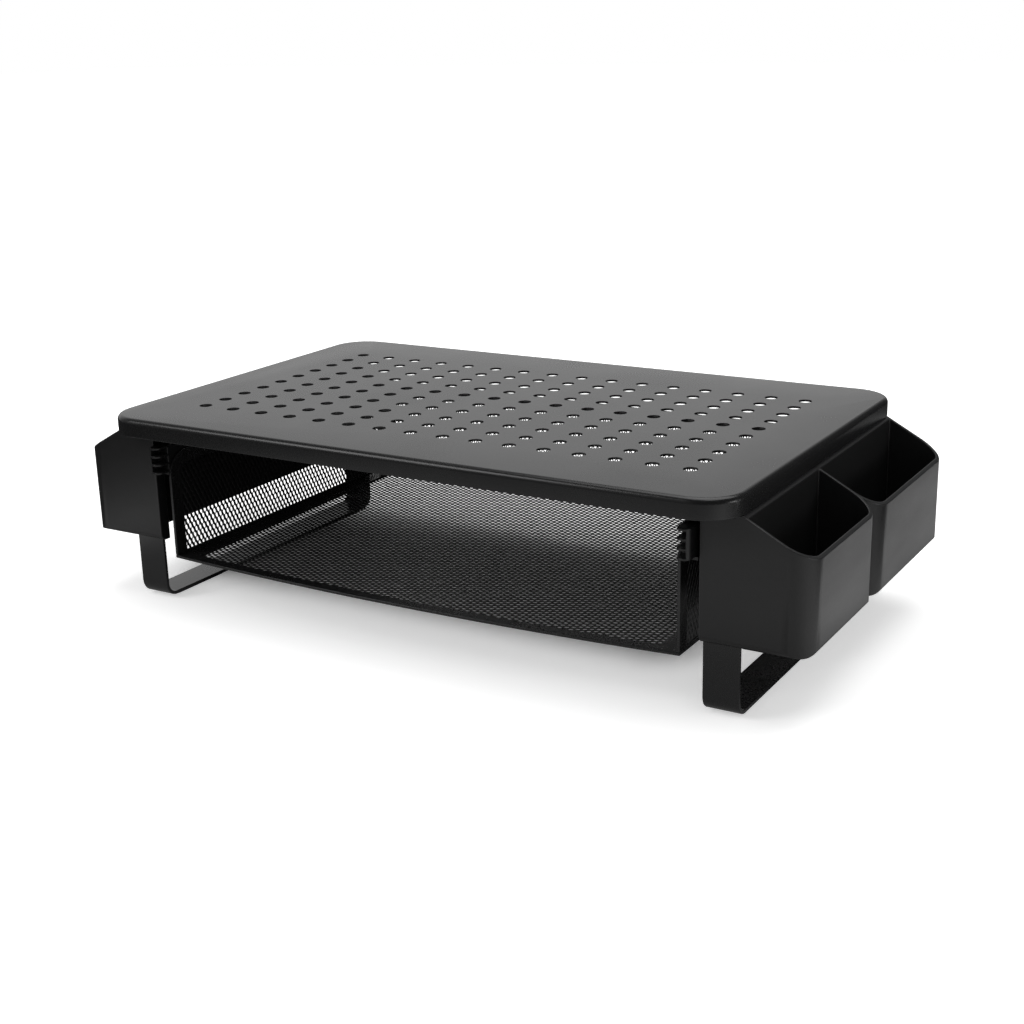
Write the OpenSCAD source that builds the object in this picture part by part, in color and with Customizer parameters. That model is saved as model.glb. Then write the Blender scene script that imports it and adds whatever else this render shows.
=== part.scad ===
// Monitor stand: a pressed and perforated steel plate on two bent strip legs,
// with a mesh drawer that slides out between the legs and a moulded pen
// holder clipped to the outside of each leg.
// The origin lies on the desk under the centre of the plate: +X to the right,
// +Y to the rear, +Z up.

/* [Top plate] */
// Width of the plate, left to right
plate_w = 370; // [340:5:460]
// Depth of the plate, front to rear
plate_d = 235; // [220:5:300]
// Height of the plate's top face above the desk
stand_h = 110; // [106:1:150]
// Sheet thickness of the plate
plate_t = 1.2; // [0.8:0.1:2]
// Height of the folded rim
rim_h = 10; // [8:0.5:12]
// Corner radius seen from above
plate_corner_r = 22; // [12:1:40]
// Outer radius of the fold between top and rim
fold_r = 3; // [2.2:0.1:5]

/* [Air holes] */
// Diameter of an air hole
hole_d = 8; // [5:0.5:10]
// Number of holes in a row, left to right
hole_cols = 16; // [6:1:16]
// Number of rows, front to rear
hole_rows = 10; // [4:1:10]
// Spacing of the holes along a row
hole_pitch_x = 19.6; // [14:0.1:20]
// Spacing of the rows
hole_pitch_y = 16.55; // [12:0.05:18]

/* [Legs] */
// Width of the leg strip
strip_w = 18.5; // [14:0.5:24]
// Thickness of the leg strip
strip_t = 2; // [1.5:0.1:3]
// Front to rear size of a leg loop
leg_d = 198; // [180:0.2:216]
// Outer radius of the bends in the strip
leg_bend_r = 8; // [5:0.5:12]
// Length of each tab under the plate, from the outside of the upright
tab_l = 34; // [30:1:44]
// Gap between the leg and the inside of the plate's rim
leg_gap = 0.2; // [0.1:0.1:1]
// Diameter of the threaded studs
stud_d = 5; // [4:0.5:6]
// Radial clearance of a stud in its hole
stud_clear = 0.25; // [0.1:0.05:0.5]
// Distance between the two studs of one tab
stud_pitch = 14; // [12:1:16]
// Thickness of a washer
washer_t = 1; // [0.6:0.1:1.6]
// Height of a nut
nut_h = 4; // [3:0.5:5]
// Thickness of the non-slip pads
pad_t = 1; // [0.6:0.1:2]
// Width of a non-slip pad
pad_w = 15; // [8:1:18]
// Length of a non-slip pad
pad_l = 42; // [20:1:60]

/* [Pen holders] */
// Outward size of a pen holder's cups
cup_w = 33; // [24:0.1:50]
// Height of a pen holder at its inner wall
holder_h = 64; // [45:1:76]
// Drop of the slanted mouth from the inner wall to the outer wall
mouth_drop = 18; // [5:0.5:34]
// Wall thickness of a pen holder
holder_wall = 2; // [1.4:0.1:3]
// Floor thickness of the cups
cup_floor = 2; // [1.4:0.1:3]
// Radius of the outer corners of each cup
cup_corner_r = 14; // [6:1:20]
// Place of the divider, from the middle of the holder towards the front
divider_shift = 10; // [0:1:20]
// Radius of the bottom edges
holder_edge_r = 4; // [1.5:0.5:5]
// Depth of the sleeve that wraps a leg upright
sleeve_d = 7; // [6.5:0.5:12]
// Wall thickness of the sleeve's inboard side
sleeve_wall = 1.2; // [1:0.1:1.6]
// Gap between holder and leg
holder_fit = 0.2; // [0.1:0.05:0.4]
// Gap between the leg's outer edge and the inner wall of the cups
holder_gap = 0.7; // [0.4:0.1:2]
// Gap between the holder and the plate's rim
holder_top_gap = 0.2; // [0.2:0.1:2]

/* [Guide rails] */
// Sheet thickness of a guide rail
rail_t = 1; // [0.8:0.1:1.2]
// Distance from the end of a guide rail to the outside of the leg
rail_in = 9; // [7:0.2:24]
// Gap between a guide rail and the leg
rail_gap = 1.9; // [0.2:0.1:3]
// Height of the throat slot's lips below the rim of the plate
rail_lip_drop = 3.7; // [3.2:0.1:5]
// Diameter of the stop pins
stop_pin_d = 3; // [2:0.5:3]
// Distance of the stop pins from the front end of the rails
stop_pin_in = 5; // [3:0.5:10]

/* [Drawer] */
// How far the drawer slides out
slide_travel = 118; // [60:1:120]
// Depth of the drawer at its sides
drawer_d = 205; // [190:1:210]
// Height of the drawer
drawer_h = 60.5; // [44:0.5:68]
// How far the front rim bows forward in the middle
front_bow = 7; // [2:0.5:10]
// How far the sides stand back from the holders' front faces
drawer_set_back = 0.2; // [-4:0.1:4]
// Thickness of the frame bands
band_t = 1.6; // [1.2:0.1:2.4]
// Width of the frame bands of the walls
band_w = 8; // [6:0.5:10]
// Width of the bands along the bottom of the walls
foot_band_w = 1; // [1:0.5:8]
// Width of the bands at the front and rear of the floor
floor_band_w = 7; // [4:0.5:10]
// Width of the bands at the sides of the floor
floor_side_w = 13; // [4:0.5:20]
// Radius of the top corners of the side frames
side_corner_r = 14; // [10:1:20]
// Thickness of the mesh
mesh_t = 0.8; // [0.6:0.1:1.2]
// Length of a mesh opening, with one strand
mesh_pitch_long = 28; // [26:1:40]
// Height of a mesh opening, with one strand
mesh_pitch_short = 16; // [15:1:30]
// Width of a strand of the mesh
strand_w = 1.4; // [1:0.1:3]

/* [Runners] */
// Width of a drawer runner
runner_w = 7; // [6:0.1:8]
// Distance from the runner's top to the top of the drawer walls
runner_above_wall = 7; // [4:0.5:12]
// Height of a runner's web
runner_h = 20.9; // [16:0.1:26]
// Wall thickness of a runner
runner_wall = 2; // [1.4:0.1:2.6]
// Width of the neck that passes the rail's throat
neck_w = 2.2; // [1.6:0.1:3]
// Side clearance of the neck in the throat
neck_clear = 0.6; // [0.3:0.1:1]
// Thickness of the hanging head of a runner
head_t = 2.6; // [1.6:0.1:3]
// Side clearance of the head in the rail
head_clear = 0.6; // [0.3:0.1:1]
// Running gap above and below the rail's lips
lip_clear = 0.3; // [0.2:0.05:0.5]
// How far the finger grip stands forward of the drawer's sides
grip_out = 7; // [3:0.5:12]
// Length of the finger grip
grip_l = 12; // [9:0.5:16]
// How far the finger grip stays inside the runner's height, at its top and bottom
grip_in = 2.8; // [0.5:0.1:4]
// Depth of the grooves between the ribs, from the nose of the grip
groove_l = 8; // [4:0.5:9]
// Thickness of the wall that closes the grooves on the outside
grip_wall = 1.6; // [1.2:0.1:3]
// Number of ribs on the finger grip
grip_ribs = 4; // [3:1:5]
// Thickness of a rib
rib_t = 1.3; // [0.8:0.1:2]
// Diameter of the rivets between runner and side frame
rivet_d = 3.2; // [2.4:0.1:4]
// Number of rivets in each runner
rivet_count = 3; // [2:1:4]

/* [Hidden] */

steel = [0.13, 0.13, 0.135];
plastic = [0.1, 0.1, 0.105];
zinc = [0.62, 0.63, 0.64];
rubber = [0.05, 0.05, 0.05];

round_fn = 48;
small_fn = 24;
bow_fn = 360;
eps = 0.01;
// How far a cutting shape runs past the piece it cuts
over = 1;

// Levels of the plate
plate_bottom = stand_h - plate_t;
rim_bottom = stand_h - rim_h;
rim_inner_x = plate_w / 2 - plate_t;

// Leg strip: outer and inner edge, and the faces of the uprights
leg_x1 = rim_inner_x - leg_gap;
leg_x0 = leg_x1 - strip_w;
leg_mid_x = (leg_x0 + leg_x1) / 2;
leg_y = leg_d / 2;
leg_foot = pad_t;
washer_d = stud_d * 2;
washer_gap = 0.3;
stud_y1 = leg_y - leg_bend_r - washer_gap - washer_d / 2;
stud_y0 = stud_y1 - stud_pitch;
stud_end = 1.5;
nut_across = stud_d * 1.6;
pad_in = 1;
pad_corner_r = 3;
stud_l = strip_t + washer_t + nut_h + stud_end;

// Pen holder
holder_x0 = leg_x1 + holder_gap;
holder_x1 = holder_x0 + cup_w;
holder_side_y = leg_y + holder_fit;
holder_y = holder_side_y + holder_wall;
holder_top = rim_bottom - holder_top_gap;
holder_bottom = holder_top - holder_h;
mouth_low = holder_top - mouth_drop;
sleeve_x1 = leg_x0 - holder_fit;
sleeve_x0 = sleeve_x1 - sleeve_wall;
hook_y = leg_y - strip_t - holder_fit;
hook_t = 1.5;
hook_w = 4;
nib_w = 6;
nib_h = 4;
nib_depth = 1.6;
nib_clear = 0.25;
nib_z = holder_bottom + holder_h * 0.45;

// Guide rail, hanging head and runner
rail_x1 = leg_x0 - rail_gap;
head_over = 0.1;
head_w = runner_w + 2 * head_over;
rail_x0 = rail_x1 - 2 * rail_t - 2 * head_clear - head_w;
rail_mid = (rail_x0 + rail_x1) / 2;
rail_lip_top = rim_bottom - rail_lip_drop;
rail_lip_bottom = rail_lip_top - rail_t;
throat_w = neck_w + 2 * neck_clear;
head_bottom = rail_lip_top + lip_clear;
head_top = head_bottom + head_t;
runner_top = rail_lip_bottom - lip_clear;
runner_bottom = runner_top - runner_h;
runner_x0 = rail_mid - runner_w / 2;
runner_x1 = rail_mid + runner_w / 2;
rail_y = leg_y - rail_in;
rail_end_t = rail_t;
stop_y = -rail_y + stop_pin_in;
stop_z = (head_top + plate_bottom) / 2;
block_l = 6;
stop_gap = 0.5;
block_y0 = stop_y + stop_pin_d / 2 + slide_travel + stop_gap;
block_top = stop_z + stop_pin_d / 2;
stop_top_gap = 0.8;
head_y = rail_y - rail_end_t - stop_top_gap;

// Drawer
drawer_x = runner_x0;
drawer_y0 = -holder_y + drawer_set_back;
drawer_y1 = drawer_y0 + drawer_d;
drawer_top = runner_top - runner_above_wall;
drawer_bottom = drawer_top - drawer_h;
wall_z0 = drawer_bottom + band_t;
bow_r = (drawer_x * drawer_x + front_bow * front_bow) / (2 * front_bow);
bow_y = drawer_y0 - front_bow + bow_r;
rivet_z = drawer_top - band_w / 2;
rivet_span = drawer_d * 0.7;
rivet_head_d = rivet_d * 1.8;
rivet_head_t = 0.9;
grip_y0 = drawer_y0 - grip_out;
grip_top = runner_top - grip_in;
grip_bottom = runner_bottom + grip_in;

// Half turn about the vertical axis: the same moulding serves both sides
module turned() {
  rotate([0, 0, 180]) children();
}

// Mirror image on the left side
module mirrored() {
  mirror([1, 0, 0]) children();
}

// Extrude a profile drawn in Y and Z along X from x0 to x1
module along_x(x0, x1) {
  translate([x0, 0, 0]) rotate([90, 0, 90]) linear_extrude(x1 - x0) children();
}

// Extrude a profile drawn in X and Z along Y from y0 to y1
module along_y(y0, y1) {
  translate([0, y1, 0]) rotate([90, 0, 0]) linear_extrude(y1 - y0) children();
}

// Rectangle from corner (x0, y0) to corner (x1, y1)
module box_2d(x0, y0, x1, y1) {
  translate([x0, y0]) square([x1 - x0, y1 - y0]);
}

// Box from one corner to the other
module box_3d(p0, p1) {
  translate(p0) cube(p1 - p0);
}

// Rectangle centred on the origin with round corners
module round_rect(w, d, r) {
  square([w - 2 * r, d], center = true);
  square([w, d - 2 * r], center = true);
  for (sx = [-1, 1], sy = [-1, 1])
    translate([sx * (w / 2 - r), sy * (d / 2 - r)]) circle(r, $fn = round_fn);
}

// Section of the plate's fold and rim: the rim's outer face is at x = fold_r
module rim_profile() {
  fold_z = stand_h - fold_r;
  intersection() {
    translate([0, fold_z]) difference() {
      circle(fold_r, $fn = round_fn);
      circle(fold_r - plate_t, $fn = round_fn);
    }
    box_2d(0, fold_z, fold_r, stand_h);
  }
  box_2d(fold_r - plate_t, rim_bottom, fold_r, fold_z);
}

module plate_holes() {
  for (i = [0 : hole_cols - 1], j = [0 : hole_rows - 1])
    translate([(i - (hole_cols - 1) / 2) * hole_pitch_x, (j - (hole_rows - 1) / 2) * hole_pitch_y])
      circle(d = hole_d, $fn = small_fn);
}

module top_plate() {
  flat_w = plate_w - 2 * fold_r;
  flat_d = plate_d - 2 * fold_r;
  turn_r = plate_corner_r - fold_r;
  straight_x = plate_w / 2 - plate_corner_r;
  straight_y = plate_d / 2 - plate_corner_r;
  color(steel) union() {
    translate([0, 0, plate_bottom]) linear_extrude(plate_t) difference() {
      round_rect(flat_w, flat_d, turn_r);
      plate_holes();
    }
    for (side = [0, 180]) rotate([0, 0, side]) {
      along_y(-straight_y, straight_y) translate([flat_w / 2, 0]) rim_profile();
      rotate([0, 0, 90]) along_y(-straight_x, straight_x) translate([flat_d / 2, 0]) rim_profile();
      translate([straight_x, straight_y, 0]) rotate_extrude(angle = 90, $fn = 2 * round_fn)
        translate([turn_r, 0]) rim_profile();
      translate([straight_x, -straight_y, 0]) rotate([0, 0, -90])
        rotate_extrude(angle = 90, $fn = 2 * round_fn) translate([turn_r, 0]) rim_profile();
    }
  }
}

// Places of the eight studs that hold the leg tabs
module at_studs() {
  for (sx = [-1, 1], sy = [-1, 1], y = [stud_y0, stud_y1])
    translate([sx * leg_mid_x, sy * y, 0]) children();
}

module plate_studs() {
  color(zinc) at_studs() translate([0, 0, plate_bottom - stud_l]) cylinder(d = stud_d, h = stud_l, $fn = small_fn);
}

module leg_washers() {
  color(zinc) at_studs() translate([0, 0, plate_bottom - strip_t - washer_t]) difference() {
    cylinder(d = washer_d, h = washer_t, $fn = small_fn);
    translate([0, 0, -over]) cylinder(d = stud_d + 2 * stud_clear, h = washer_t + 2 * over, $fn = small_fn);
  }
}

module leg_nuts() {
  color(zinc) at_studs() translate([0, 0, plate_bottom - strip_t - washer_t - nut_h]) difference() {
    cylinder(d = nut_across / cos(30), h = nut_h, $fn = 6);
    translate([0, 0, -over]) cylinder(d = stud_d, h = nut_h + 2 * over, $fn = small_fn);
  }
}

// Side view of a leg: a loop of strip, open under the middle of the plate
module leg_profile() {
  loop_h = plate_bottom - leg_foot;
  translate([0, leg_foot + loop_h / 2]) difference() {
    round_rect(leg_d, loop_h, leg_bend_r);
    round_rect(leg_d - 2 * strip_t, loop_h - 2 * strip_t, leg_bend_r - strip_t);
    box_2d(-leg_y + tab_l, 0, leg_y - tab_l, loop_h);
  }
}

// The top of the strip is narrower on the outside, to clear the plate's fold
module right_leg() {
  color(steel) difference() {
    along_x(leg_x0, leg_x1) leg_profile();
    box_3d([plate_w / 2 - fold_r - leg_gap, -leg_y - over, stand_h - fold_r - leg_gap], [plate_w / 2, leg_y + over, stand_h]);
    for (sy = [-1, 1], y = [stud_y0, stud_y1]) translate([leg_mid_x, sy * y, plate_bottom - strip_t - over])
      cylinder(r = stud_d / 2 + stud_clear, h = strip_t + 2 * over, $fn = small_fn);
    for (sy = [-1, 1]) translate([leg_mid_x, sy * (leg_y - strip_t / 2), nib_z])
      cube([nib_w + 2 * nib_clear, strip_t + over, nib_h + 2 * nib_clear], center = true);
  }
}

module left_leg() {
  mirrored() right_leg();
}

module right_foot_pads() {
  color(rubber) for (sy = [-1, 1])
    translate([leg_mid_x, sy * (leg_y - leg_bend_r - pad_in - pad_l / 2), 0])
      linear_extrude(pad_t) round_rect(pad_w, pad_l, pad_corner_r);
}

module left_foot_pads() {
  mirrored() right_foot_pads();
}

// Plan of one cup from y0 to y1, drawn in by inset, with round outer corners
module cup_plan(y0, y1, inset) {
  r = cup_corner_r - inset;
  x0 = holder_x0 + inset;
  x1 = holder_x1 - inset;
  a = y0 + inset;
  b = y1 - inset;
  box_2d(x0, a, x1 - r, b);
  box_2d(x0, a + r, x1, b - r);
  for (y = [a + r, b - r]) translate([x1 - r, y]) circle(r, $fn = round_fn);
}

// Side view that cuts the slanted mouth and rounds the outer bottom edge
module mouth_profile() {
  r = holder_edge_r;
  difference() {
    polygon([[sleeve_x0 - over, holder_bottom], [holder_x1, holder_bottom], [holder_x1, mouth_low],
      [holder_x0, holder_top], [sleeve_x0 - over, holder_top]]);
    difference() {
      box_2d(holder_x1 - r, holder_bottom - over, holder_x1 + over, holder_bottom + r);
      translate([holder_x1 - r, holder_bottom + r]) circle(r, $fn = round_fn);
    }
  }
}

// Front view that rounds the bottom edges at both ends
module end_profile() {
  r = holder_edge_r;
  difference() {
    box_2d(-holder_y, holder_bottom, holder_y, holder_top);
    for (s = [-1, 1]) scale([s, 1]) difference() {
      box_2d(holder_y - r, holder_bottom - over, holder_y + over, holder_bottom + r);
      translate([holder_y - r, holder_bottom + r]) circle(r, $fn = round_fn);
    }
  }
}

// Plan of the sleeve at the front end: face, inboard side and hook behind the strip
module sleeve_plan() {
  box_2d(sleeve_x0, -holder_y, holder_x0 + holder_wall, -holder_side_y);
  box_2d(sleeve_x0, -holder_y, sleeve_x1, -holder_y + sleeve_d);
  box_2d(sleeve_x0, -hook_y, sleeve_x1 + hook_w, -hook_y + hook_t);
}

module right_pen_holder() {
  divider_y = -divider_shift;
  half_wall = holder_wall / 2;
  color(plastic) difference() {
    intersection() {
      translate([0, 0, holder_bottom]) linear_extrude(holder_h) {
        cup_plan(-holder_y, divider_y + half_wall, 0);
        cup_plan(divider_y - half_wall, holder_y, 0);
        sleeve_plan();
        scale([1, -1]) sleeve_plan();
      }
      along_y(-holder_y - over, holder_y + over) mouth_profile();
      along_x(sleeve_x0 - over, holder_x1 + over) end_profile();
    }
    translate([0, 0, holder_bottom + cup_floor]) linear_extrude(holder_h) {
      cup_plan(-holder_y, divider_y + half_wall, holder_wall);
      cup_plan(divider_y - half_wall, holder_y, holder_wall);
    }
  }
  color(plastic) for (s = [-1, 1]) scale([1, s, 1])
    translate([leg_mid_x, holder_side_y - nib_depth / 2, nib_z]) cube([nib_w, nib_depth, nib_h], center = true);
}

module left_pen_holder() {
  turned() right_pen_holder();
}

// Section of a guide rail: a channel under the plate, open downwards
module rail_profile() {
  difference() {
    box_2d(rail_x0, rail_lip_bottom, rail_x1, plate_bottom);
    box_2d(rail_x0 + rail_t, rail_lip_top, rail_x1 - rail_t, plate_bottom - rail_t);
    box_2d(rail_mid - throat_w / 2, rail_lip_bottom - over, rail_mid + throat_w / 2, rail_lip_top + over);
  }
}

module right_guide_rail() {
  color(zinc) difference() {
    union() {
      along_y(-rail_y, rail_y) rail_profile();
      box_3d([rail_x0 + rail_t, rail_y - rail_end_t, rail_lip_top], [rail_x1 - rail_t, rail_y, plate_bottom - rail_t]);
    }
    translate([rail_mid, stop_y, stop_z]) rotate([0, 90, 0])
      cylinder(d = stop_pin_d, h = rail_x1 - rail_x0 + 2 * over, center = true, $fn = small_fn);
  }
}

module left_guide_rail() {
  mirrored() right_guide_rail();
}

module rail_stop_pins() {
  color(zinc) for (s = [-1, 1]) translate([s * rail_mid, stop_y, stop_z]) rotate([0, 90, 0])
    cylinder(d = stop_pin_d, h = rail_x1 - rail_x0, center = true, $fn = small_fn);
}

// Plan of the drawer floor with the bowed front, drawn in at the front and rear and at the sides
module floor_plan(inset, side_inset) {
  intersection() {
    box_2d(-drawer_x + side_inset, drawer_y0 - front_bow - over, drawer_x - side_inset, drawer_y1 - inset);
    translate([0, bow_y]) circle(bow_r - inset, $fn = bow_fn);
  }
}

// Diamond openings of the mesh over a rectangle: the strands between them are all of one width
module mesh_openings(x0, y0, x1, y1) {
  a = mesh_pitch_long / 2;
  b = mesh_pitch_short / 2;
  side = sqrt(a * a + b * b);
  half_long = a - strand_w * side / (2 * b);
  half_short = b - strand_w * side / (2 * a);
  nx = ceil((x1 - x0) / mesh_pitch_long);
  ny = ceil((y1 - y0) / mesh_pitch_short);
  mx = (x0 + x1) / 2;
  my = (y0 + y1) / 2;
  for (i = [-nx : nx], j = [-ny : ny])
    if ((i + j) % 2 == 0 && abs(i * a) < (x1 - x0) / 2 && abs(j * b) < (y1 - y0) / 2)
      translate([mx + i * a, my + j * b])
        polygon([[half_long, 0], [0, half_short], [-half_long, 0], [0, -half_short]]);
}

// Swap the two directions of a profile: the sheet of mesh bends up from the floor into the side walls
module upright() {
  mirror([1, -1]) children();
}

module drawer_floor_frame() {
  color(steel) translate([0, 0, drawer_bottom]) linear_extrude(band_t) difference() {
    floor_plan(0, 0);
    floor_plan(floor_band_w, floor_side_w);
  }
}

module drawer_floor_mesh() {
  color(steel) translate([0, 0, drawer_bottom + (band_t - mesh_t) / 2]) linear_extrude(mesh_t) difference() {
    floor_plan(floor_band_w, floor_side_w);
    intersection() {
      floor_plan(floor_band_w + strand_w, floor_side_w + strand_w);
      mesh_openings(-drawer_x + floor_side_w, drawer_y0 - front_bow + floor_band_w,
        drawer_x - floor_side_w, drawer_y1 - floor_band_w);
    }
  }
}

// Side view of a side wall drawn in by inset and at its foot, with a round top corner at the front
module side_plan(inset, foot) {
  r = side_corner_r - inset;
  y0 = drawer_y0 + inset;
  y1 = drawer_y1 - inset;
  z0 = wall_z0 + foot;
  z1 = drawer_top - inset;
  box_2d(y0, z0, y1, z1 - r);
  box_2d(y0 + r, z0, y1, z1);
  translate([y0 + r, z1 - r]) circle(r, $fn = round_fn);
}

module drawer_right_frame() {
  color(steel) difference() {
    along_x(drawer_x - band_t, drawer_x) difference() {
      side_plan(0, 0);
      side_plan(band_w, foot_band_w);
    }
    at_rivets() cylinder(d = rivet_d, h = 4 * band_t, center = true, $fn = small_fn);
  }
}

module drawer_left_frame() {
  mirrored() drawer_right_frame();
}

module drawer_right_mesh() {
  mid = drawer_x - band_t / 2;
  color(steel) along_x(mid - mesh_t / 2, mid + mesh_t / 2) difference() {
    side_plan(band_w, foot_band_w);
    intersection() {
      side_plan(band_w + strand_w, foot_band_w + strand_w);
      upright() mesh_openings(wall_z0 + foot_band_w, drawer_y0 + band_w, drawer_top - band_w, drawer_y1 - band_w);
    }
  }
}

module drawer_left_mesh() {
  mirrored() drawer_right_mesh();
}

// Front view of the back wall drawn in by inset and at its foot
module back_plan(inset, foot) {
  box_2d(-drawer_x + band_t + inset, wall_z0 + foot, drawer_x - band_t - inset, drawer_top - inset);
}

module drawer_back_frame() {
  color(steel) along_y(drawer_y1 - band_t, drawer_y1) difference() {
    back_plan(0, 0);
    back_plan(band_w, foot_band_w);
  }
}

module drawer_back_mesh() {
  mid = drawer_y1 - band_t / 2;
  color(steel) along_y(mid - mesh_t / 2, mid + mesh_t / 2) difference() {
    back_plan(band_w, foot_band_w);
    intersection() {
      back_plan(band_w + strand_w, foot_band_w + strand_w);
      mesh_openings(-drawer_x + band_t + band_w, wall_z0 + foot_band_w,
        drawer_x - band_t - band_w, drawer_top - band_w);
    }
  }
}

// Places of the rivets in the right runner, with Z along the rivet
module at_rivets() {
  for (i = [0 : rivet_count - 1])
    translate([drawer_x - band_t / 2, (drawer_y0 + drawer_y1) / 2 + (i / (rivet_count - 1) - 0.5) * rivet_span, rivet_z])
      rotate([0, 90, 0]) children();
}

module runner_rivets() {
  shank = band_t + runner_wall;
  color(steel) for (side = [0, 1]) mirror([side, 0, 0]) at_rivets() {
    translate([0, 0, -band_t / 2]) cylinder(d = rivet_d, h = shank, $fn = small_fn);
    translate([0, 0, -band_t / 2 - rivet_head_t]) cylinder(d = rivet_head_d, h = rivet_head_t, $fn = small_fn);
    translate([0, 0, shank - band_t / 2]) cylinder(d = rivet_head_d, h = rivet_head_t, $fn = small_fn);
  }
}

// Section of a runner: web against the drawer wall, flanges, neck and head
module runner_profile() {
  box_2d(runner_x0, runner_bottom, runner_x0 + runner_wall, runner_top);
  box_2d(runner_x0, runner_bottom, runner_x1, runner_bottom + runner_wall);
  box_2d(runner_x0, runner_top - runner_wall, runner_x1, runner_top);
}

module head_profile() {
  box_2d(rail_mid - neck_w / 2, runner_top - eps, rail_mid + neck_w / 2, head_bottom + eps);
  box_2d(rail_mid - head_w / 2, head_bottom, rail_mid + head_w / 2, head_top);
}

// Plan of the finger grip, with a round nose
module grip_plan() {
  r = runner_w / 2;
  translate([rail_mid, grip_y0 + r]) circle(r, $fn = small_fn);
  box_2d(runner_x0, grip_y0 + r, runner_x1, grip_y0 + grip_l);
}

// Thin ribs round deep grooves, which are open to the front and the inside
module finger_grip() {
  pitch = (grip_top - grip_bottom - rib_t) / (grip_ribs - 1);
  translate([0, 0, grip_bottom]) linear_extrude(grip_top - grip_bottom) difference() {
    grip_plan();
    box_2d(runner_x0 - over, grip_y0 - over, runner_x1 - grip_wall, grip_y0 + groove_l);
  }
  for (i = [0 : grip_ribs - 1])
    translate([0, 0, grip_bottom + i * pitch]) linear_extrude(rib_t) grip_plan();
}

module right_runner() {
  color(plastic) difference() {
    union() {
      along_y(grip_y0 + grip_l - over, drawer_y1 - band_w) runner_profile();
      along_y(-head_y, head_y) head_profile();
      box_3d([rail_mid - head_w / 2, block_y0, head_top - eps], [rail_mid + head_w / 2, block_y0 + block_l, block_top]);
      finger_grip();
    }
    at_rivets() cylinder(d = rivet_d, h = 4 * runner_wall, center = true, $fn = small_fn);
  }
}

module left_runner() {
  mirrored() right_runner();
}

top_plate();
plate_studs();
left_leg();
right_leg();
leg_washers();
leg_nuts();
left_foot_pads();
right_foot_pads();
left_pen_holder();
right_pen_holder();
left_guide_rail();
right_guide_rail();
rail_stop_pins();
drawer_floor_frame();
drawer_left_frame();
drawer_right_frame();
drawer_back_frame();
drawer_floor_mesh();
drawer_left_mesh();
drawer_right_mesh();
drawer_back_mesh();
left_runner();
right_runner();
runner_rivets();
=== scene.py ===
import math

import bmesh
import bpy
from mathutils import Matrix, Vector


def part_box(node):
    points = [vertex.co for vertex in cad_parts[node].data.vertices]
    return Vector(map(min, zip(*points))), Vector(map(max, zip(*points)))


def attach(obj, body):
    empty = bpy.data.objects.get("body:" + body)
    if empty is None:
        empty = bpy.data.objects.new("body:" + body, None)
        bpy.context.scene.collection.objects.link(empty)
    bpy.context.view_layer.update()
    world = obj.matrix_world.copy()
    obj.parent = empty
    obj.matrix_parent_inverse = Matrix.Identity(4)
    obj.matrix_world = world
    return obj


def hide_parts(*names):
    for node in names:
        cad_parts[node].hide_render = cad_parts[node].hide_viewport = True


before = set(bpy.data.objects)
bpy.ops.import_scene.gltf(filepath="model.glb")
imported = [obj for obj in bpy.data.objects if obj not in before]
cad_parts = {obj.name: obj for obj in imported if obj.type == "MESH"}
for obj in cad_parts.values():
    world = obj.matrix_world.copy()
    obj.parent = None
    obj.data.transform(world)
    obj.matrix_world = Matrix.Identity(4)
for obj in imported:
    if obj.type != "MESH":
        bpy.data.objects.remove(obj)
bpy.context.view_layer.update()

scene = bpy.context.scene
scene.view_settings.view_transform = "Standard"


# Camera: fitted to the plate, its hole grid and the legs in the photograph
camera_data = bpy.data.cameras.new("camera")
camera_data.lens = 55.20
camera_data.sensor_width = 36.0
camera_data.clip_start = 0.05
camera_data.clip_end = 20.0
camera = bpy.data.objects.new("camera", camera_data)
scene.collection.objects.link(camera)
camera.location = (0.4369, -0.7166, 0.3109)
camera.rotation_euler = [math.radians(a) for a in (72.5626, 1.3367, 30.6619)]
scene.camera = camera


# Nodes: a value is a socket or, where a helper says so, a number

def add(tree, kind, **settings):
    """A new node, with its properties set by name."""
    node = tree.nodes.new(kind)
    for key, value in settings.items():
        setattr(node, key, value)
    return node


def place(tree):
    """Object coordinates: metres in the shared frame, so that grain has its real size."""
    return add(tree, "ShaderNodeTexCoord").outputs["Object"]


def axis(tree, vector, name):
    parts = add(tree, "ShaderNodeSeparateXYZ")
    tree.links.new(vector, parts.inputs["Vector"])
    return parts.outputs[name]


def stretched(tree, vector, scale):
    node = add(tree, "ShaderNodeMapping")
    node.inputs["Scale"].default_value = scale
    tree.links.new(vector, node.inputs["Vector"])
    return node.outputs["Vector"]


def noise(tree, vector, scale, detail=2.0, roughness=0.5):
    node = add(tree, "ShaderNodeTexNoise")
    node.inputs["Scale"].default_value = scale
    node.inputs["Detail"].default_value = detail
    node.inputs["Roughness"].default_value = roughness
    tree.links.new(vector, node.inputs["Vector"])
    return node.outputs["Fac"]


def cells(tree, vector, scale):
    """Voronoi cells: all outputs of the node, such as Distance and Color."""
    node = add(tree, "ShaderNodeTexVoronoi", feature="F1")
    node.inputs["Scale"].default_value = scale
    tree.links.new(vector, node.inputs["Vector"])
    return node.outputs


def spread(tree, value, from_lo, from_hi, to_lo, to_hi):
    """The value carried from one range to another, and held at its ends."""
    node = add(tree, "ShaderNodeMapRange")
    numbers = {"From Min": from_lo, "From Max": from_hi, "To Min": to_lo, "To Max": to_hi}
    for name, number in numbers.items():
        node.inputs[name].default_value = number
    tree.links.new(value, node.inputs["Value"])
    return node.outputs["Result"]


def smooth(tree, value, from_lo, from_hi, to_lo, to_hi):
    """As spread, with soft ends."""
    result = spread(tree, value, from_lo, from_hi, to_lo, to_hi)
    result.node.interpolation_type = "SMOOTHSTEP"
    return result


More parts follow.
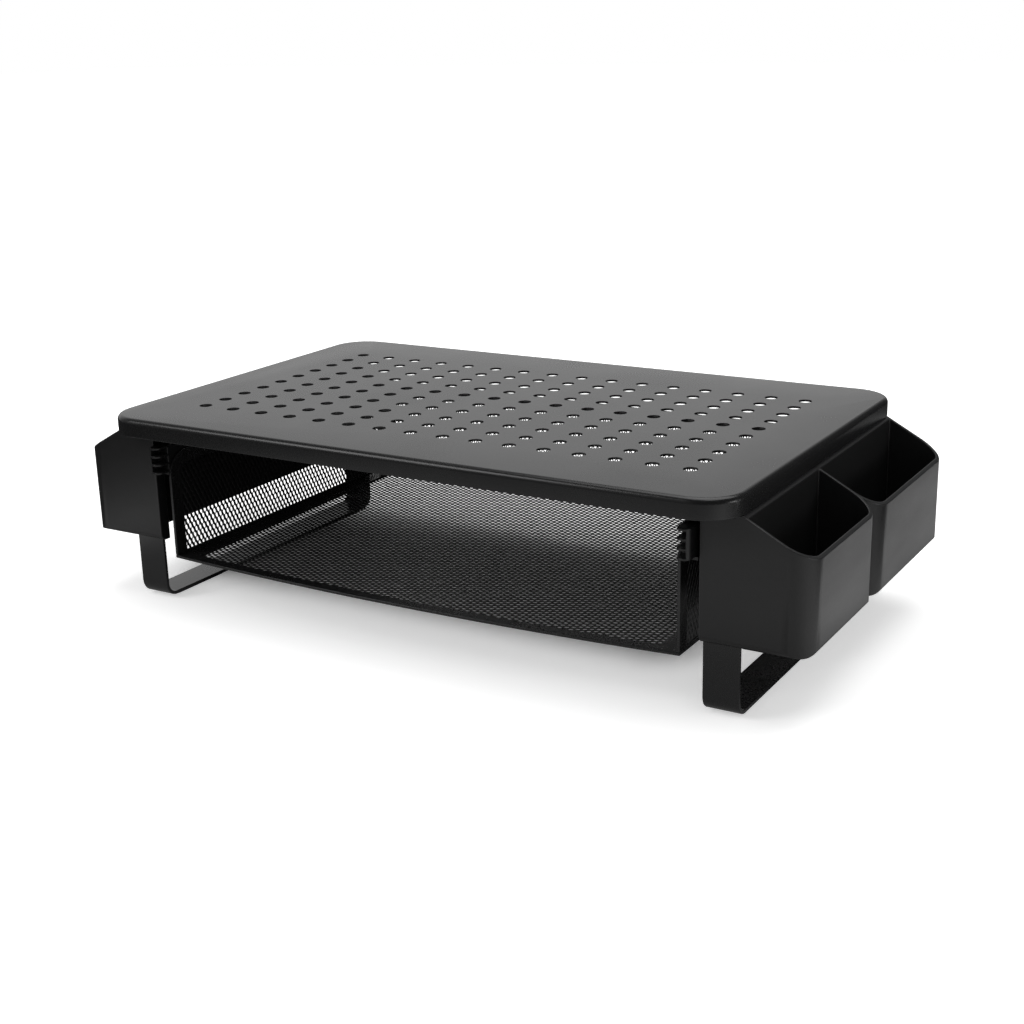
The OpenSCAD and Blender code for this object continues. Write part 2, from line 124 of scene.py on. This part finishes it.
def maths(tree, operation, a, b=0.0):
    """One sum with a and b, each a socket or a number."""
    node = add(tree, "ShaderNodeMath", operation=operation)
    for socket, value in zip(node.inputs, (a, b)):
        if isinstance(value, (int, float)):
            socket.default_value = value
        else:
            tree.links.new(value, socket)
    return node.outputs["Value"]


def product(tree, *factors):
    """Factors multiplied together, each a socket or a number."""
    result = factors[0]
    for factor in factors[1:]:
        result = maths(tree, "MULTIPLY", result, factor)
    return result


def total(tree, *terms):
    """Terms added together, each a socket or a number."""
    result = terms[0]
    for term in terms[1:]:
        result = maths(tree, "ADD", result, term)
    return result


def two_colours(tree, factor, a, b):
    """From a to b by the factor: a is a colour or a socket, b is a colour."""
    node = add(tree, "ShaderNodeMix", data_type="RGBA")
    tree.links.new(factor, node.inputs["Factor"])
    if isinstance(a, tuple):
        node.inputs["A"].default_value = (*a, 1)
    else:
        tree.links.new(a, node.inputs["A"])
    node.inputs["B"].default_value = (*b, 1)
    return node.outputs["Result"]


def bump(tree, height, distance, strength, under=None):
    node = add(tree, "ShaderNodeBump")
    node.inputs["Distance"].default_value = distance
    node.inputs["Strength"].default_value = strength
    tree.links.new(height, node.inputs["Height"])
    if under is not None:
        tree.links.new(under, node.inputs["Normal"])
    return node.outputs["Normal"]


# Materials: sizes are in metres, and a noise's scale counts its features to the metre

# An edge is sought this far round, and shows from the first cosine of its turn to the second
EDGE_REACH = 0.0007
EDGE_TURN = (0.995, 0.86)
PEEL = 0.00045
PEEL_DEPTH = 0.000012
RUBBED_PAINT = (0.040, 0.040, 0.042)
RUBBED_SMOOTHER = 0.06
ZINC_DARK = (0.50, 0.51, 0.53)
ZINC_PALE = (0.66, 0.67, 0.68)
FOAM_DARK = (0.006, 0.006, 0.006)
FOAM_PALE = (0.022, 0.022, 0.023)
THREAD_PITCH = 0.0008
THREAD_DEPTH = 0.0004
# A wave texture of scale 1 repeats after this length
WAVE_LENGTH = 2 * math.pi / 20


def new_material(name):
    mat = bpy.data.materials.new(name)
    mat.use_nodes = True
    tree = mat.node_tree
    shader = tree.nodes["Principled BSDF"]
    return mat, tree, shader


def edge_mask(tree):
    """1 on convex and concave edges, 0 on flats."""
    soft = add(tree, "ShaderNodeBevel", samples=4)
    soft.inputs["Radius"].default_value = EDGE_REACH
    flat = add(tree, "ShaderNodeNewGeometry")
    dot = add(tree, "ShaderNodeVectorMath", operation="DOT_PRODUCT")
    tree.links.new(soft.outputs["Normal"], dot.inputs[0])
    tree.links.new(flat.outputs["Normal"], dot.inputs[1])
    return spread(tree, dot.outputs["Value"], *EDGE_TURN, 0.0, 1.0)


def painted(name, dark, pale, rough_lo, rough_hi, worn=True):
    """Powder coat: fine orange peel and a cloudy gloss; worn edges are rubbed smoother."""
    mat, tree, shader = new_material(name)
    at = place(tree)
    cloud = noise(tree, at, 14.0, 3.0, 0.6)
    speck = noise(tree, at, 900.0, 2.0, 0.7)
    tone = total(tree, product(tree, cloud, 0.6), product(tree, speck, 0.4))
    colour = two_colours(tree, tone, dark, pale)
    rough = spread(tree, tone, 0.3, 0.7, rough_lo, rough_hi)
    if worn:
        patchy = spread(tree, noise(tree, at, 60.0), 0.35, 0.65, 0.35, 1.0)
        edge = product(tree, edge_mask(tree), patchy)
        colour = two_colours(tree, edge, colour, RUBBED_PAINT)
        rough = maths(tree, "SUBTRACT", rough, product(tree, edge, RUBBED_SMOOTHER))
    tree.links.new(colour, shader.inputs["Base Color"])
    tree.links.new(rough, shader.inputs["Roughness"])
    waves = bump(tree, noise(tree, at, 260.0, 1.0), 0.00004, 0.1)
    peel = bump(tree, noise(tree, at, 1.0 / PEEL, 1.0), PEEL_DEPTH, 0.2, waves)
    tree.links.new(peel, shader.inputs["Normal"])
    return mat


def moulded(name, dark, pale, rough_lo, rough_hi, grain, depth, strength, rim=0.012):
    """Moulded plastic: a spark-eroded grain, faint flow marks, and a painted highlight that
    lightens every sharp edge towards rim.
    """
    mat, tree, shader = new_material(name)
    at = place(tree)
    flow = noise(tree, stretched(tree, at, (1.0, 0.5, 2.5)), 22.0, 3.0, 0.55)
    colour = two_colours(tree, flow, dark, pale)
    # Painted highlight: the edges are mixed towards rim, so that they show light lines whatever the
    # lamps do
    colour = two_colours(tree, edge_mask(tree), colour, (rim, rim, rim * 1.03))
    tree.links.new(colour, shader.inputs["Base Color"])
    pits = cells(tree, at, 1.0 / grain)["Distance"]
    tone = total(tree, flow, product(tree, pits, 0.3))
    rough = spread(tree, tone, 0.4, 1.0, rough_lo, rough_hi)
    tree.links.new(rough, shader.inputs["Roughness"])
    waves = bump(tree, noise(tree, at, 180.0, 2.0), 0.00003, 0.3)
    tree.links.new(bump(tree, pits, depth, strength, waves), shader.inputs["Normal"])
    return mat


def plated(name, thread=False):
    """Bright zinc: a faint spangle and drawn lines, with a screw thread on the studs."""
    mat, tree, shader = new_material(name)
    at = place(tree)
    grey = add(tree, "ShaderNodeSeparateColor")
    tree.links.new(cells(tree, at, 900.0)["Color"], grey.inputs["Color"])
    colour = two_colours(tree, grey.outputs["Red"], ZINC_DARK, ZINC_PALE)
    tree.links.new(colour, shader.inputs["Base Color"])
    drawn = noise(tree, stretched(tree, at, (1.0, 1.0, 12.0)), 700.0, 2.0, 0.6)
    tree.links.new(spread(tree, drawn, 0.3, 0.7, 0.22, 0.42), shader.inputs["Roughness"])
    shader.inputs["Metallic"].default_value = 1.0
    normal = bump(tree, drawn, 0.00002, 0.5)
    if thread:
        wave = add(tree, "ShaderNodeTexWave", wave_type="BANDS", bands_direction="Z",
                   wave_profile="TRI")
        wave.inputs["Scale"].default_value = WAVE_LENGTH / THREAD_PITCH
        tree.links.new(at, wave.inputs["Vector"])
        normal = bump(tree, wave.outputs["Fac"], THREAD_DEPTH, 1.0, normal)
    tree.links.new(normal, shader.inputs["Normal"])
    return mat


def foam(name):
    """Foam rubber: small open cells, with painted shade darkening the bottoms of their pits."""
    mat, tree, shader = new_material(name)
    pores = cells(tree, place(tree), 1400.0)["Distance"]
    # Painted shade: the colour is darkest where the pores' bump is deepest
    tree.links.new(two_colours(tree, pores, FOAM_DARK, FOAM_PALE), shader.inputs["Base Color"])
    tree.links.new(spread(tree, pores, 0.0, 0.7, 0.75, 0.95), shader.inputs["Roughness"])
    tree.links.new(bump(tree, pores, 0.0002, 0.8), shader.inputs["Normal"])
    return mat


STEEL = painted("black_powder_coat", (0.0085, 0.0085, 0.0088), (0.0125, 0.0125, 0.0128),
                0.22, 0.30)
NET = painted("black_coated_mesh", (0.0080, 0.0080, 0.0082), (0.0120, 0.0120, 0.0122),
              0.36, 0.46, worn=False)
# The holders' rim of 0.12 is a painted highlight along their edges; the runners' rim stays near
# their own colour
HOLDER = moulded("grained_plastic", (0.0085, 0.0085, 0.0088), (0.0116, 0.0116, 0.0119),
                 0.34, 0.44, 0.00045, 0.00004, 0.5, rim=0.12)
RUNNER = moulded("smooth_plastic", (0.0080, 0.0080, 0.0083), (0.0110, 0.0110, 0.0112),
                 0.30, 0.40, 0.0008, 0.00001, 0.3)
ZINC = plated("zinc_plate")
THREAD = plated("zinc_thread", thread=True)
FOAM = foam("foam_rubber")


# Rigid pieces

# Points closer than WELD are one, faces that turn less than FLAT_DEG are joined, and edges
# that turn more than SHARP_DEG are broken
WELD = 2e-6
FLAT_DEG = 0.4
SHARP_DEG = 32

# The grid of air holes in the plate, and the coat of paint on their punched edges: a point
# within ON_RIM of a hole's edge is moved
HOLE_GRID = (16, 10)
HOLE_PITCH = (0.0196, 0.01655)
HOLE_R = 0.004
HOLE_PAINT = 0.0005
ON_RIM = 0.0003


def clean_copy(node):
    """A CAD node's mesh as faces of any shape, with the triangles of each flat joined."""
    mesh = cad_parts[node].data.copy()
    mesh.materials.clear()
    bm = bmesh.new()
    bm.from_mesh(mesh)
    bmesh.ops.remove_doubles(bm, verts=bm.verts, dist=WELD)
    bmesh.ops.dissolve_limit(bm, angle_limit=math.radians(FLAT_DEG),
                             use_dissolve_boundaries=False, verts=bm.verts, edges=bm.edges)
    bm.to_mesh(mesh)
    bm.free()
    if "custom_normal" in mesh.attributes:
        mesh.attributes.remove(mesh.attributes["custom_normal"])
    return mesh


def finish_piece(obj, body, material, nodes):
    scene.collection.objects.link(obj)
    obj.data.materials.append(material)
    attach(obj, body)
    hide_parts(*nodes)


def softened(node, body, material, width, segments=2):
    """The CAD piece with its sharp edges broken, so that they catch the light."""
    obj = bpy.data.objects.new(node + "_skin", clean_copy(node))
    finish_piece(obj, body, material, [node])
    for face in obj.data.polygons:
        face.use_smooth = True
    bevel = obj.modifiers.new("edges", "BEVEL")
    bevel.limit_method = "ANGLE"
    bevel.angle_limit = math.radians(SHARP_DEG)
    bevel.width = width
    bevel.segments = segments
    bevel.use_clamp_overlap = False
    bevel.harden_normals = True
    return obj


def draw_in_holes(plate):
    """Paint builds up on the punched edges, so that each hole looks a little smaller."""
    for vert in plate.data.vertices:
        middle = []
        for k in (0, 1):
            half = (HOLE_GRID[k] - 1) / 2
            step = round(vert.co[k] / HOLE_PITCH[k] + half)
            middle.append((min(max(step, 0), HOLE_GRID[k] - 1) - half) * HOLE_PITCH[k])
        away = math.hypot(vert.co.x - middle[0], vert.co.y - middle[1])
        if abs(away - HOLE_R) < ON_RIM:
            for k in (0, 1):
                vert.co[k] = middle[k] + (vert.co[k] - middle[k]) * (1 - HOLE_PAINT / HOLE_R)


# Expanded mesh: staggered six-sided openings, with each strand tilted between them

# One cell's length and width
LONG = 0.0061
SHORT = 0.0032
# The opening's tips, and the knees between them, from its middle
OPEN_LONG = 0.00195
OPEN_KNEE = 0.0006
OPEN_SHORT = 0.00068
# The strand's thickness and how far its two edges are tilted out of the sheet
STRAND_T = 0.00045
TILT = 0.00018
# In the side walls the openings lean; walls and back gape wider than the floor
LEAN = 0.3
WALL_GAPE = 1.09
BACK_GAPE = 1.25
# A net runs LAP in under its frame; at the foot it starts DROP lower and is cut at CUT_LAP
LAP = 0.0018
DROP = 0.004
CUT_LAP = 0.0012
WALL_CORNER_R = 0.006


class Plane:
    """Turns the net's own directions into X, Y and Z."""

    def __init__(self, long_axis, short_axis, thick_axis, u_at, v_at):
        self.axes = (long_axis, short_axis, thick_axis)
        self.mirrored = self.axes not in ((0, 1, 2), (1, 2, 0), (2, 0, 1))
        self.u_at, self.v_at = u_at, v_at

    def range_uv(self, lo, hi):
        a, b, _ = self.axes
        return lo[a] - self.u_at, hi[a] - self.u_at, lo[b] - self.v_at, hi[b] - self.v_at

    def __call__(self, u, v, n, mid):
        p = [0.0, 0.0, 0.0]
        p[self.axes[0]] = self.u_at + u
        p[self.axes[1]] = self.v_at + v
        p[self.axes[2]] = mid + n
        return p


def net(name, node, keep, to_world, tilt=TILT, lean=0.0, gape=1.0):
    """A closed net over the cells whose middle keep(u, v) accepts.

    u runs the long way of the openings and v the short way.
    """
    lo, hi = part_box(node)
    thin = to_world.axes[2]
    mid = (lo[thin] + hi[thin]) / 2
    u0, u1, v0, v1 = to_world.range_uv(lo, hi)
    verts, index, faces, border = [], {}, [], {}
    hexagon = [
        (OPEN_LONG, 0.0, 0.0), (OPEN_KNEE, OPEN_SHORT, tilt), (-OPEN_KNEE, OPEN_SHORT, tilt),
        (-OPEN_LONG, 0.0, 0.0), (-OPEN_KNEE, -OPEN_SHORT, -tilt), (OPEN_KNEE, -OPEN_SHORT, -tilt),
    ]

    def corner(i, j, side):
        """A cell's outer corner, shared with the cells round it."""
        key = (i, j, side)
        if key not in index:
            index[key] = len(verts)
            verts.append(to_world(i * LONG / 2, j * SHORT / 2, side * STRAND_T / 2, mid))
        return index[key]

    def add_cell(i, j, u, v):
        rings, outlines = [], []
        for side in (1, -1):
            r = []
            for a, b, n in hexagon:
                r.append(len(verts))
                verts.append(to_world(u + gape * a, v + gape * b + lean * a,
                                      n + side * STRAND_T / 2, mid))
            rings.append(r)
            east, north = corner(i + 1, j, side), corner(i, j + 1, side)
            west, south = corner(i - 1, j, side), corner(i, j - 1, side)
            outlines.append((east, north, west, south))
            parts = [
                (east, north, r[1], r[0]), (north, r[2], r[1]), (north, west, r[3], r[2]),
                (west, south, r[4], r[3]), (south, r[5], r[4]), (south, east, r[0], r[5]),
            ]
            faces.extend(p if side > 0 else p[::-1] for p in parts)
        for k in range(6):
            m = (k + 1) % 6
            faces.append((rings[0][k], rings[0][m], rings[1][m], rings[1][k]))
        upper, lower = outlines
        for k in range(4):
            m = (k + 1) % 4
            edge = frozenset((upper[k], upper[m]))
            # An outer edge that a second cell shares is inside the net, and needs no wall
            if border.pop(edge, None) is None:
                border[edge] = (upper[m], upper[k], lower[k], lower[m])

    for i in range(math.floor(2 * u0 / LONG) - 1, math.ceil(2 * u1 / LONG) + 2):
        for j in range(math.floor(2 * v0 / SHORT) - 1, math.ceil(2 * v1 / SHORT) + 2):
            u, v = i * LONG / 2, j * SHORT / 2
            if (i + j) % 2 == 0 and keep(u, v):
                add_cell(i, j, u, v)
    faces.extend(border.values())
    if to_world.mirrored:
        faces = [face[::-1] for face in faces]
    mesh = bpy.data.meshes.new(name)
    mesh.from_pydata(verts, [], faces)
    mesh.update()
    return mesh


def cut_below(mesh, z):
    """What lies under z is taken off, and the cut strands are closed."""
    bm = bmesh.new()
    bm.from_mesh(mesh)
    cut = bmesh.ops.bisect_plane(bm, geom=bm.verts[:] + bm.edges[:] + bm.faces[:],
                                 plane_co=(0, 0, z), plane_no=(0, 0, 1), clear_inner=True)
    rim = [item for item in cut["geom_cut"] if isinstance(item, bmesh.types.BMEdge)]
    bmesh.ops.holes_fill(bm, edges=rim, sides=0)
    bm.to_mesh(mesh)
    bm.free()


def hang_net(mesh, node):
    obj = bpy.data.objects.new(mesh.name, mesh)
    finish_piece(obj, "drawer", NET, [node])


def make_floor_net():
    """The front edge of the floor's opening is an arc, read from the frames' own boxes."""
    lo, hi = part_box("drawer_floor_mesh")
    frame_lo, frame_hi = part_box("drawer_floor_frame")
    side_lo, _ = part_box("drawer_left_frame")
    bow = side_lo.y - frame_lo.y
    radius = (frame_hi.x ** 2 + bow ** 2) / (2 * bow)
    centre_y = frame_lo.y + radius
    inner_r = radius - (lo.y - frame_lo.y)
    floor = Plane(0, 1, 2, 0.0, (lo.y + hi.y) / 2)

    def keep(u, v):
        x, y = floor.u_at + u, floor.v_at + v
        inside = math.hypot(x, y - centre_y) < inner_r + LAP
        return inside and abs(x) < hi.x + LAP and y < hi.y + LAP

    hang_net(net("drawer_floor_net", "drawer_floor_mesh", keep, floor), "drawer_floor_mesh")


def make_wall_net(side, tilt, lean):
    """A side wall: its top front corner is round, and its diamonds stand upright."""
    node = f"drawer_{side}_mesh"
    lo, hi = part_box(node)
    wall = Plane(2, 1, 0, (lo.z + hi.z) / 2, (lo.y + hi.y) / 2)

    def keep(u, v):
        z, y = wall.u_at + u, wall.v_at + v
        inside = lo.y - LAP < y < hi.y + LAP and lo.z - DROP < z < hi.z + LAP
        corner_y, corner_z = lo.y + WALL_CORNER_R, hi.z - WALL_CORNER_R
        if y < corner_y and z > corner_z:
            inside = inside and math.hypot(y - corner_y, z - corner_z) < WALL_CORNER_R + LAP
        return inside

    mesh = net(f"drawer_{side}_net", node, keep, wall, tilt, lean, WALL_GAPE)
    cut_below(mesh, lo.z - CUT_LAP)
    hang_net(mesh, node)


def make_back_net():
    lo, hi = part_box("drawer_back_mesh")
    back = Plane(2, 0, 1, (lo.z + hi.z) / 2, 0.0)

    def keep(u, v):
        z = back.u_at + u
        return abs(v) < hi.x + LAP and lo.z - DROP < z < hi.z + LAP

    mesh = net("drawer_back_net", "drawer_back_mesh", keep, back, gape=BACK_GAPE)
    cut_below(mesh, lo.z - CUT_LAP)
    hang_net(mesh, "drawer_back_mesh")


make_floor_net()
make_wall_net("left", TILT, -LEAN)
make_wall_net("right", -TILT, LEAN)
make_back_net()

# Each with the width of its broken edges
draw_in_holes(softened("top_plate", "stand", STEEL, 0.0002))
for side in ("left", "right"):
    softened(f"{side}_leg", "stand", STEEL, 0.0004)
    softened(f"{side}_pen_holder", "stand", HOLDER, 0.0005)
    softened(f"{side}_guide_rail", "stand", STEEL, 0.00025)
    softened(f"{side}_foot_pads", "stand", FOAM, 0.0002)
    softened(f"{side}_runner", "drawer", RUNNER, 0.00035)
    softened(f"drawer_{side}_frame", "drawer", STEEL, 0.0004)
for part in ("floor", "back"):
    softened(f"drawer_{part}_frame", "drawer", STEEL, 0.0004)
softened("leg_washers", "stand", ZINC, 0.00012)
softened("leg_nuts", "stand", ZINC, 0.0003)
softened("plate_studs", "stand", THREAD, 0.0003)
softened("rail_stop_pins", "stand", ZINC, 0.0002)
softened("runner_rivets", "drawer", STEEL, 0.0003, 3)


# Studio: positions on the floor are in metres, and the rest are brightnesses

FLOOR_HALF = 9
FLOOR_SEEN = 0.97
FLOOR_BOUNCE = 0.5
FLOOR_MIRRORED = 0.03
# The glow left in the painted shadow under the drawer, then round it and far off
FLOOR_PAINTED_SHADOW = 0.04
FLOOR_GLOW = 0.5
FLOOR_FAR_GLOW = 0.8
# The brightness of the patches of painted reflection, which only reflections see
FLOOR_PAINTED_REFLECTION = 1.2
FLOOR_APRON = 0.62
FLOOR_NOSE = 0.7
FLOOR_HEEL = 0.7
WORLD_LEVEL = 0.42
WHITE = (1, 1, 1, 1)


def beyond(tree, value, start, reach):
    """How far the value is past start, as a share of reach, from 0."""
    share = maths(tree, "DIVIDE", maths(tree, "SUBTRACT", value, start), reach)
    return maths(tree, "MAXIMUM", share, 0.0)


def length_of(tree, a, b):
    return maths(tree, "SQRT", total(tree, product(tree, a, a), product(tree, b, b)))


def band(tree, value, rise_from, rise_to, fall_from, fall_to):
    """0, up to 1 and down to 0 again, with soft ends."""
    return product(tree, smooth(tree, value, rise_from, rise_to, 0.0, 1.0),
                   smooth(tree, value, fall_from, fall_to, 1.0, 0.0))


def light_path(tree):
    """Whether a ray comes from the camera or through glass, and whether off a gloss."""
    path = add(tree, "ShaderNodeLightPath")
    seen = maths(tree, "MAXIMUM", path.outputs["Is Camera Ray"],
                 path.outputs["Is Transmission Ray"])
    return seen, path.outputs["Is Glossy Ray"]


def floor_glow_with_painted_shadow(tree, x, y):
    """The floor as the camera sees it: a painted shadow, deepest under the drawer's middle where
    the glow is least; far off the glow rises further.
    """
    side = beyond(tree, maths(tree, "ABSOLUTE", total(tree, x, 0.03)), 0.14, 0.045)
    front = beyond(tree, product(tree, y, -1.0), 0.03, 0.045)
    slanted = maths(tree, "SUBTRACT", y, product(tree, x, 0.1))
    rear = beyond(tree, slanted, 0.062, 0.085)
    out_of_painted_shadow = length_of(tree, side, maths(tree, "MAXIMUM", front, rear))
    # Painted shadow: the glow is lowest in a box under the drawer and ramps up past its sides,
    # front and rear
    painted_shadow = smooth(tree, out_of_painted_shadow, 0.0, 1.0, FLOOR_PAINTED_SHADOW, FLOOR_GLOW)
    far = spread(tree, length_of(tree, x, y), 0.3, 1.3, 0.0, FLOOR_FAR_GLOW - FLOOR_GLOW)
    return total(tree, painted_shadow, far)


def painted_floor_reflections(tree, x, y):
    """Painted reflections: patches on the floor that only reflections see, brightest close by on
    the right.
    """
    rise = total(tree, smooth(tree, x, 0.22, 0.245, 0.0, 0.6), smooth(tree, x, 0.25, 0.3, 0.0, 0.4))
    patch = product(tree, rise, smooth(tree, x, 0.30, 0.33, 1.0, 0.0),
                    band(tree, y, -0.12, 0.06, 0.40, 0.52))
    nose = product(tree, band(tree, x, 0.25, 0.33, 0.40, 0.50),
                   band(tree, y, -0.26, -0.12, -0.04, 0.06))
    heel = product(tree, band(tree, x, -0.33, -0.29, -0.27, -0.23),
                   band(tree, y, -0.25, -0.20, -0.16, -0.12))
    apron = product(tree, smooth(tree, x, -0.34, -0.27, 0.0, 1.0),
                    smooth(tree, y, -0.43, -0.33, 0.35, 1.0),
                    smooth(tree, y, -0.215, -0.165, 1.0, 0.42),
                    smooth(tree, y, -0.11, -0.05, 1.0, 0.0))
    return total(tree, product(tree, patch, FLOOR_PAINTED_REFLECTION), product(tree, apron, FLOOR_APRON),
                 product(tree, nose, FLOOR_NOSE), product(tree, heel, FLOOR_HEEL))


def make_floor():
    """A pale floor, white to the camera, that keeps the object's shadow and has a painted shadow
    under the drawer; bounced light sees it grey, and reflections see it near black, a painted
    shade, but for patches of painted reflection.
    """
    h = FLOOR_HALF
    mesh = bpy.data.meshes.new("floor")
    mesh.from_pydata([(-h, -h, 0), (h, -h, 0), (h, h, 0), (-h, h, 0)], [], [(0, 1, 2, 3)])
    obj = bpy.data.objects.new("floor", mesh)
    scene.collection.objects.link(obj)
    mat = bpy.data.materials.new("pale_floor")
    mat.use_nodes = True
    tree = mat.node_tree
    tree.nodes.clear()
    seen, mirrored = light_path(tree)
    # The floor's colour hangs on the ray: grey to bounced light, and near black in reflections as
    # painted shade in what the object mirrors
    bounce = spread(tree, mirrored, 0.0, 1.0, FLOOR_BOUNCE, FLOOR_MIRRORED)
    albedo = maths(tree, "MAXIMUM", product(tree, seen, FLOOR_SEEN), bounce)
    grey = add(tree, "ShaderNodeCombineColor")
    for channel in ("Red", "Green", "Blue"):
        tree.links.new(albedo, grey.inputs[channel])
    diffuse = add(tree, "ShaderNodeBsdfDiffuse")
    tree.links.new(grey.outputs["Color"], diffuse.inputs["Color"])
    at = place(tree)
    x, y = axis(tree, at, "X"), axis(tree, at, "Y")
    # To the camera the floor glows, with a painted shadow under the drawer; in reflections it shows
    # painted patches of light
    power = total(tree, product(tree, seen, floor_glow_with_painted_shadow(tree, x, y)),
                  product(tree, mirrored, painted_floor_reflections(tree, x, y)))
    glow = add(tree, "ShaderNodeEmission")
    glow.inputs["Color"].default_value = WHITE
    tree.links.new(power, glow.inputs["Strength"])
    both = add(tree, "ShaderNodeAddShader")
    tree.links.new(diffuse.outputs["BSDF"], both.inputs[0])
    tree.links.new(glow.outputs["Emission"], both.inputs[1])
    out = add(tree, "ShaderNodeOutputMaterial")
    tree.links.new(both.outputs["Shader"], out.inputs["Surface"])
    mesh.materials.append(mat)


def make_world():
    """White to the camera; mirrored, darker overhead and in front; plain light elsewhere."""
    world = bpy.data.worlds.new("studio")
    scene.world = world
    world.use_nodes = True
    tree = world.node_tree
    tree.nodes.clear()
    direction = add(tree, "ShaderNodeTexCoord").outputs["Generated"]
    behind = smooth(tree, axis(tree, direction, "Y"), -0.25, 0.45, 0.18, 0.72)
    left = smooth(tree, axis(tree, direction, "X"), -0.4, 0.2, 1.0, 0.05)
    low = smooth(tree, axis(tree, direction, "Z"), 0.4, 0.8, 1.0, 0.12)
    seen, mirrored = light_path(tree)
    unseen = maths(tree, "SUBTRACT", 1.0, maths(tree, "MAXIMUM", seen, mirrored))
    power = total(tree, seen, product(tree, mirrored, behind, left, low),
                  product(tree, unseen, WORLD_LEVEL))
    ground = add(tree, "ShaderNodeBackground")
    ground.inputs["Color"].default_value = WHITE
    tree.links.new(power, ground.inputs["Strength"])
    out = add(tree, "ShaderNodeOutputWorld")
    tree.links.new(ground.outputs["Background"], out.inputs["Surface"])


def soft_lamp(name, power, size, location, target=(0.0, 0.0, 0.05)):
    """A square lamp of this many watts that faces the target."""
    data = bpy.data.lights.new(name, "AREA")
    data.shape = "SQUARE"
    data.size = size
    data.energy = power
    obj = bpy.data.objects.new(name, data)
    scene.collection.objects.link(obj)
    obj.location = location
    away = Vector(location) - Vector(target)
    obj.rotation_euler = away.to_track_quat("Z", "Y").to_euler()


make_floor()
make_world()
soft_lamp("overhead", 32.0, 2.2, (0.1, 0.5, 2.3))
soft_lamp("front_left", 5.5, 0.7, (-0.93, -1.02, 1.09))
soft_lamp("low_right", 3.0, 0.5, (1.45, 0.1, 0.16), (0.185, 0.0, 0.105))
